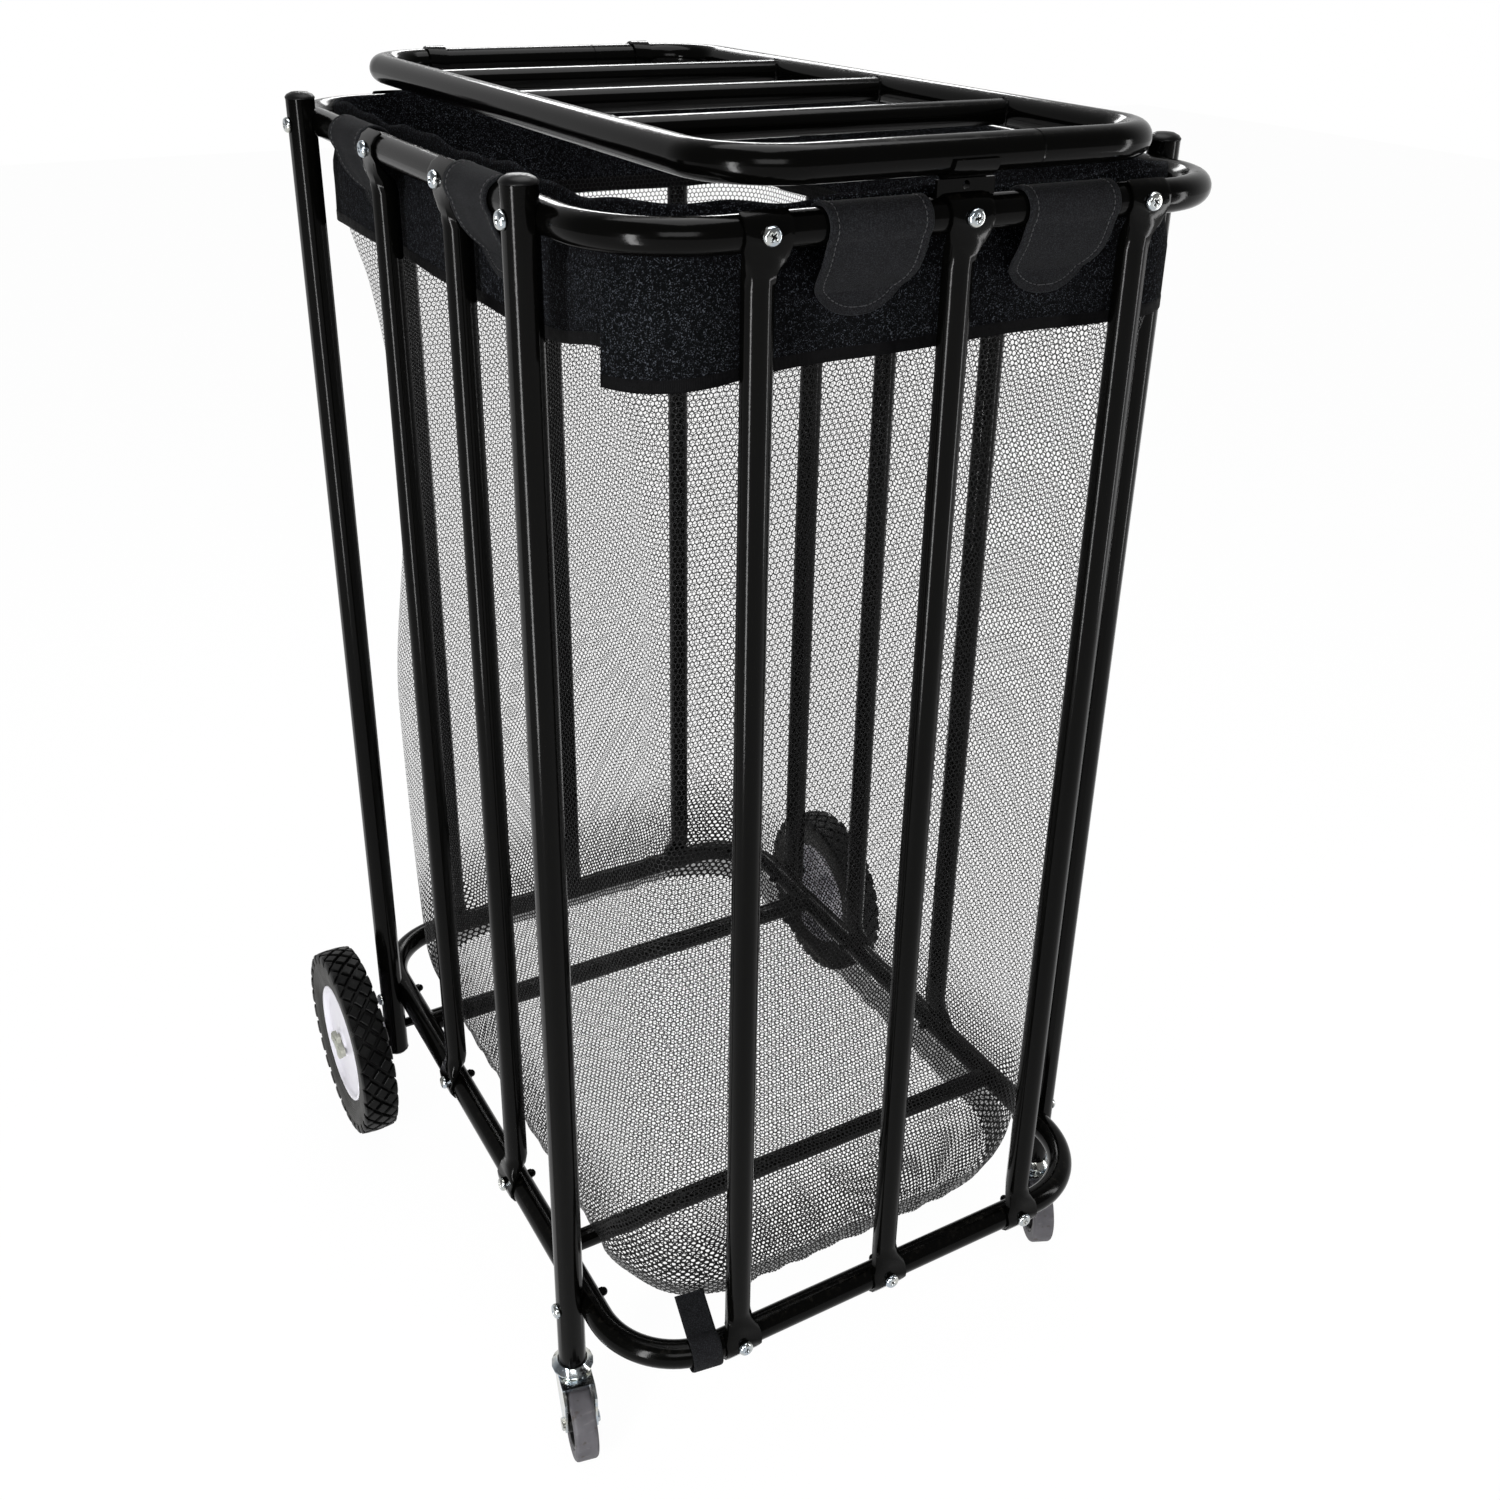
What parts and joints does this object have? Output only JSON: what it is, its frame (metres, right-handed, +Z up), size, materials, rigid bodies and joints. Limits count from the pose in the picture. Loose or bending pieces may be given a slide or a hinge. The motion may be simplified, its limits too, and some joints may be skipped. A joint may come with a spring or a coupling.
{
  "type": "ball locker",
  "caption": "Tall rolling cage of black tube with a net bag inside, a hinged barred lid, large rear wheels and swivel front casters, for holding sports balls.",
  "frame": {"origin": "on the floor under the middle of the object", "axes": "+X across the short side, from the strap's side to the other; +Y from the casters towards the large wheels; +Z up"},
  "size_m": [0.7578, 0.828, 1.2898],
  "materials": {
    "black_powder_coat": "glossy black powder coat on round steel tube",
    "black_plastic": "smooth moulded black plastic",
    "zinc_steel": "bright zinc-plated steel",
    "tyre_rubber": "matt dark grey rubber with moulded tread blocks",
    "white_plastic": "off-white moulded plastic",
    "grey_plastic": "mid grey moulded plastic",
    "grey_rubber": "grey-mauve moulded rubber",
    "black_net": "black knotless hexagonal mesh",
    "black_plush": "black plush pile with a shiny hem",
    "black_webbing": "black woven webbing with a stitched border"
  },
  "bodies": {
    "frame": {"bag_band": "black_plush", "bag_net": "black_net", "bag_strap": "black_webbing", "bottom_cross_tube_front": "black_powder_coat", "bottom_cross_tube_rear": "black_powder_coat", "bottom_ring_front_half": "black_powder_coat", "bottom_ring_rear_half": "black_powder_coat", "caster_stem_left": "zinc_steel", "caster_stem_right": "zinc_steel", "foot_cap_rear_left": "black_plastic", "foot_cap_rear_right": "black_plastic", "hub_cap_left": "grey_plastic", "hub_cap_right": "grey_plastic", "latch_bracket": "black_powder_coat", "leg_cap_front_left": "black_plastic", "leg_cap_front_right": "black_plastic", "leg_cap_rear_left": "black_plastic", "leg_cap_rear_right": "black_plastic", "leg_front_left": "black_powder_coat", "leg_front_right": "black_powder_coat", "leg_rear_left": "black_powder_coat", "leg_rear_right": "black_powder_coat", "rear_axle": "zinc_steel", "tab_front_left": "black_webbing", "tab_front_right": "black_webbing", "tab_left_front": "black_webbing", "tab_left_rear": "black_webbing", "tab_rear_left": "black_webbing", "tab_rear_right": "black_webbing", "tab_right_front": "black_webbing", "tab_right_rear": "black_webbing", "top_ring_front_half": "black_powder_coat", "top_ring_rear_half": "black_powder_coat", "upright_front_left": "black_powder_coat", "upright_front_middle": "black_powder_coat", "upright_front_right": "black_powder_coat", "upright_left_front": "black_powder_coat", "upright_left_rear": "black_powder_coat", "upright_rear_left": "black_powder_coat", "upright_rear_middle": "black_powder_coat", "upright_rear_right": "black_powder_coat", "upright_right_front": "black_powder_coat", "upright_right_rear": "black_powder_coat"},
    "lid": {"lid_frame": "black_powder_coat", "lid_bar_1": "black_powder_coat", "lid_bar_2": "black_powder_coat", "lid_bar_3": "black_powder_coat", "hinge_clip_left": "black_powder_coat", "hinge_clip_right": "black_powder_coat", "latch_plate": "black_powder_coat"},
    "rear_wheel_left": {"rear_tyre_left": "tyre_rubber", "rear_wheel_disc_left": "white_plastic"},
    "rear_wheel_right": {"rear_tyre_right": "tyre_rubber", "rear_wheel_disc_right": "white_plastic"},
    "caster_swivel_left": {"caster_fork_left": "zinc_steel"},
    "caster_swivel_right": {"caster_fork_right": "zinc_steel"},
    "caster_wheel_left": {"caster_tread_left": "grey_rubber", "caster_core_left": "black_plastic"},
    "caster_wheel_right": {"caster_tread_right": "grey_rubber", "caster_core_right": "black_plastic"}
  },
  "joints": [
    {"name": "lid_hinge", "type": "hinge", "parent": "frame", "child": "lid", "pos_m": [0, 0.3935, 1.23], "axis": [-1, 0, 0], "range_deg": [0, 130]},
    {"name": "rear_wheel_left_spin", "type": "hinge", "parent": "frame", "child": "rear_wheel_left", "pos_m": [-0.3559, 0.2806, 0.1183], "axis": [1, 0, 0], "continuous": true},
    {"name": "rear_wheel_right_spin", "type": "hinge", "parent": "frame", "child": "rear_wheel_right", "pos_m": [0.3559, 0.2806, 0.1183], "axis": [1, 0, 0], "continuous": true},
    {"name": "caster_left_swivel", "type": "hinge", "parent": "frame", "child": "caster_swivel_left", "pos_m": [-0.301, -0.2806, 0.093], "axis": [0, 0, 1], "continuous": true},
    {"name": "caster_right_swivel", "type": "hinge", "parent": "frame", "child": "caster_swivel_right", "pos_m": [0.301, -0.2806, 0.093], "axis": [0, 0, 1], "continuous": true},
    {"name": "caster_left_wheel_spin", "type": "hinge", "parent": "caster_swivel_left", "child": "caster_wheel_left", "pos_m": [-0.30765, -0.3119, 0.038], "axis": [0.9781, -0.2079, 0], "continuous": true},
    {"name": "caster_right_wheel_spin", "type": "hinge", "parent": "caster_swivel_right", "child": "caster_wheel_right", "pos_m": [0.28748, -0.3096, 0.038], "axis": [0.9063, -0.4226, 0], "continuous": true}
  ]
}
